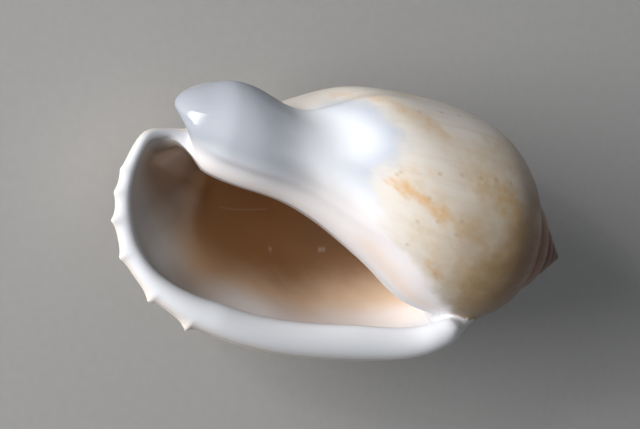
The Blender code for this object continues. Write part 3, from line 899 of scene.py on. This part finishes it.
def hollow_colour(bench, colours, where, place, hollow):
    """White behind the lip, through greyish beige and tan to the brown of the hollow."""
    uneven = bench.math("SUBTRACT", bench.noise(scaled(bench, where, 0.4, 0.2), 1.0, 3.0, 0.5), 0.5)
    start = bench.curve(place, BROWN_START, 0.0, 1.0)
    into = bench.math("ADD", bench.math("SUBTRACT", hollow, start), bench.times(uneven, 0.03))
    end = bench.curve(hollow, BROWN_END, 0.0, 0.5)
    below = bench.math("ADD", bench.math("SUBTRACT", place, end), bench.times(uneven, 0.05))
    grey = bench.mix(bench.step(hollow, 0.02, 0.13), SLOPE_GREY, SLOPE_BROWN)
    grey = bench.mix(bench.step(hollow, 0.12, 0.24), grey, SLOPE_PEACH)
    pale_behind = bench.mix(bench.step(place, 0.30, 0.55), PALE_ABOVE, PALE_BELOW)
    pale = bench.mix(bench.step(into, -0.08, -0.01), colours.lip, pale_behind)
    tan = bench.mix(bench.step(place, 0.32, 0.50), TAN_ABOVE, TAN_BELOW)
    deep = bench.mix(bench.step(place, 0.18, 0.40), DEEP_ABOVE, colours.hollow)
    brown = bench.mix(bench.step(into, 0.01, 0.09), tan, deep)
    colour = bench.mix(bench.step(into, -0.02, 0.03), pale, brown)
    colour = bench.mix(bench.step(below, -0.06, 0.06), colour, grey)
    hair = bench.most([stroke(bench, where, a, b, 0.16) for a, b in zip(HAIR, HAIR[1:])])
    specks = bench.most([stroke(bench, where, at, at, 0.5) for at in SPECKS])
    light = bench.math("MAXIMUM", bench.times(hair, 0.22), bench.times(specks, 0.45))
    return bench.mix(light, colour, SPECK)


def shell_finish(colours):
    """Glossy shell: cream whorl with tan flames, white glaze and lip, brown hollow."""
    material = bpy.data.materials.new("shell_finish")
    material.use_nodes = True
    shader = material.node_tree.nodes["Principled BSDF"]
    bench = Bench(material.node_tree)
    turns, place, _ = carried(bench, "coil")
    lip, hollow, _ = carried(bench, "zone")
    where = spread(bench, turns, place)
    colour = whorl_colour(bench, colours, where, turns, place)
    glaze = glaze_share(bench, where, turns, place)
    colour = bench.mix(glaze, colour, glaze_colour(bench, colours, where, turns, place))
    edge = bench.mix(bench.step(lip, 0.0, 0.35), LIP_OUTSIDE, colours.lip)
    colour = bench.mix(bench.step(lip, 0.0, 0.08), colour, edge)
    inner = hollow_colour(bench, colours, where, place, hollow)
    colour = bench.mix(bench.step(hollow, 0.0, 0.01), colour, inner)
    bench.plug(shader.inputs["Base Color"], colour)
    fine = bench.noise(scaled(bench, where, 2.2, 0.10), 1.0, 4.0, 0.6)
    smooth = bench.most([glaze, bench.step(lip, 0.0, 0.1), bench.step(hollow, 0.0, 0.02)])
    clear = bench.times(bench.step(place, 0.60, 0.74), bench.step(turns, 0.45, 0.60))
    clear = bench.times(clear, bench.step(turns, 1.0, 0.9))
    rough = bench.step(fine, 0.3, 0.7, 0.32, 0.42)
    bench.plug(shader.inputs["Roughness"], bench.math("ADD", rough, bench.times(clear, 0.25)))
    bump = bench.node("ShaderNodeBump")
    bench.plug(bump.inputs["Height"], fine)
    bench.plug(bump.inputs["Strength"], bench.step(smooth, 0.0, 1.0, 0.22, 0.03))
    bench.plug(bump.inputs["Distance"], GROWTH_LINE_RISE)
    bench.plug(shader.inputs["Normal"], bump.outputs[0])
    gleam = bench.most([stroke(bench, where, a, b, 1.3) for a, b in zip(GLEAM, GLEAM[1:])])
    rim = bench.times(bench.step(lip, 0.0, 0.1), bench.step(lip, 0.75, 0.4, 0.0, 0.7))
    coat = bench.step(clear, 0.0, 0.5, 0.12, 0.0)
    bench.plug(shader.inputs["Coat Weight"], bench.most([gleam, rim, coat]))
    shader.inputs["Metallic"].default_value = 0.0
    shader.inputs["Coat Roughness"].default_value = COAT_ROUGHNESS
    return material


def floor_finish(colour):
    """Plain pale paper."""
    material = bpy.data.materials.new("floor_finish")
    material.use_nodes = True
    shader = material.node_tree.nodes["Principled BSDF"]
    bench = Bench(material.node_tree)
    body = bench.node("ShaderNodeTexCoord").outputs["Object"]
    grain = bench.noise(body, 900.0, 3.0)
    bench.plug(shader.inputs["Base Color"], bench.mix(
        bench.step(grain, 0.3, 0.7), colour, [c * 0.97 for c in colour]))
    shader.inputs["Roughness"].default_value = 0.8
    shader.inputs["Specular IOR Level"].default_value = 0.2
    return material


def put_in_scene(name, bm, material):
    """An object of the finished mesh, smooth, with its material."""
    mesh = bpy.data.meshes.new(name)
    bm.to_mesh(mesh)
    bm.free()
    mesh.shade_smooth()
    mesh.materials.append(material)
    made = bpy.data.objects.new(name, mesh)
    bpy.context.scene.collection.objects.link(made)
    return made


def add_area_light(name, place, aim, size, power):
    """A soft rectangular light at a place, turned to what it lights."""
    light = bpy.data.lights.new(name, "AREA")
    light.shape = "RECTANGLE"
    light.size, light.size_y = size
    light.energy = power
    lamp = bpy.data.objects.new(name, light)
    lamp.location = place
    lamp.rotation_euler = (aim - place).to_track_quat("-Z", "Y").to_euler()
    bpy.context.scene.collection.objects.link(lamp)


def view_axes():
    """Directions to the camera, to its right and up, in the shell's own frame."""
    back = Vector((0, -math.cos(VIEW_TILT), -math.sin(VIEW_TILT)))
    front_end = Vector((0, 0, -1))
    front_end = (front_end - back * front_end.dot(back)).normalized()
    lip_side = Vector((1, 0, 0))
    right = -math.cos(VIEW_ROLL) * front_end - math.sin(VIEW_ROLL) * lip_side
    up = math.sin(VIEW_ROLL) * front_end - math.cos(VIEW_ROLL) * lip_side
    return back, right, up


class BONNET_OT_shell(bpy.types.Operator):
    """Grows the shell as one skin, from the lip back to the tip of the spire"""
    bl_idname = "bonnet.shell"
    bl_label = "Shell"
    bl_options = {"REGISTER", "UNDO"}

    def execute(self, context):
        bm = grow_shell(context.scene.bonnet_form)
        middle = lay_down(bm)
        context.scene["bonnet_middle"] = tuple(middle)
        shell = put_in_scene("shell_skin", bm, shell_finish(context.scene.bonnet_colours))
        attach(shell, "root")
        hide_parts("shell")
        return {"FINISHED"}


class BONNET_OT_stage(bpy.types.Operator):
    """Sets the floor, the soft lights and the camera"""
    bl_idname = "bonnet.stage"
    bl_label = "Stage"
    bl_options = {"REGISTER", "UNDO"}

    def execute(self, context):
        scene, stage = context.scene, context.scene.bonnet_stage
        bm = bmesh.new()
        bmesh.ops.create_grid(bm, x_segments=1, y_segments=1, size=FLOOR_REACH)
        floor = put_in_scene("floor", bm, floor_finish(stage.floor))
        turn = rest_turn()
        middle = Vector(scene["bonnet_middle"])
        back, right, up = view_axes()
        focus = Vector(VIEW_FOCUS) + right * VIEW_ASIDE[0] + up * VIEW_ASIDE[1]
        place = turn @ ((focus + back * VIEW_DISTANCE) * MM) - middle
        aim = turn @ (focus * MM) - middle
        back, right, up = (turn.to_3x3() @ axis for axis in (back, right, up))
        data = bpy.data.cameras.new("camera")
        data.lens = stage.lens
        data.sensor_width = SENSOR_WIDTH
        data.clip_start = NEAREST_SEEN
        camera = bpy.data.objects.new("camera", data)
        camera.matrix_world = Matrix.Translation(place) @ Matrix((right, up, back)).transposed().to_4x4()
        scene.collection.objects.link(camera)
        scene.camera = camera
        for name, (towards, above, aside), size, share in LIGHTS:
            way = (back * towards + up * above + right * aside).normalized()
            add_area_light(name, aim + way * LIGHT_DISTANCE, aim, size, stage.key_power * share)
        world = bpy.data.worlds.new("soft_room")
        world.use_nodes = True
        background = world.node_tree.nodes["Background"]
        background.inputs["Color"].default_value = rgba(ROOM_COLOUR)
        background.inputs["Strength"].default_value = stage.fill
        scene.world = world
        scene.view_settings.view_transform = "Standard"
        return {"FINISHED"}


class BONNET_PT_panel(bpy.types.Panel):
    """The shell and its stage, with their sizes and colours"""
    bl_idname = "BONNET_PT_panel"
    bl_label = "Bonnet shell"
    bl_space_type = "VIEW_3D"
    bl_region_type = "UI"
    bl_category = "Shell"

    def draw(self, context):
        scene = context.scene
        for operator, group in (
                (BONNET_OT_shell, scene.bonnet_form), (None, scene.bonnet_colours),
                (BONNET_OT_stage, scene.bonnet_stage)):
            if operator:
                self.layout.operator(operator.bl_idname)
            for name in group.bl_rna.properties.keys():
                if name not in ("rna_type", "name"):
                    self.layout.prop(group, name)


CLASSES = (ShellForm, ShellColours, StageSettings, BONNET_OT_shell, BONNET_OT_stage, BONNET_PT_panel)


def register():
    for made in CLASSES:
        bpy.utils.register_class(made)
    bpy.types.Scene.bonnet_form = bpy.props.PointerProperty(type=ShellForm)
    bpy.types.Scene.bonnet_colours = bpy.props.PointerProperty(type=ShellColours)
    bpy.types.Scene.bonnet_stage = bpy.props.PointerProperty(type=StageSettings)


def unregister():
    for name in ("bonnet_stage", "bonnet_colours", "bonnet_form"):
        delattr(bpy.types.Scene, name)
    for made in reversed(CLASSES):
        bpy.utils.unregister_class(made)


def main():
    register()
    bpy.ops.bonnet.shell()
    bpy.ops.bonnet.stage()


if __name__ == "__main__":
    main()
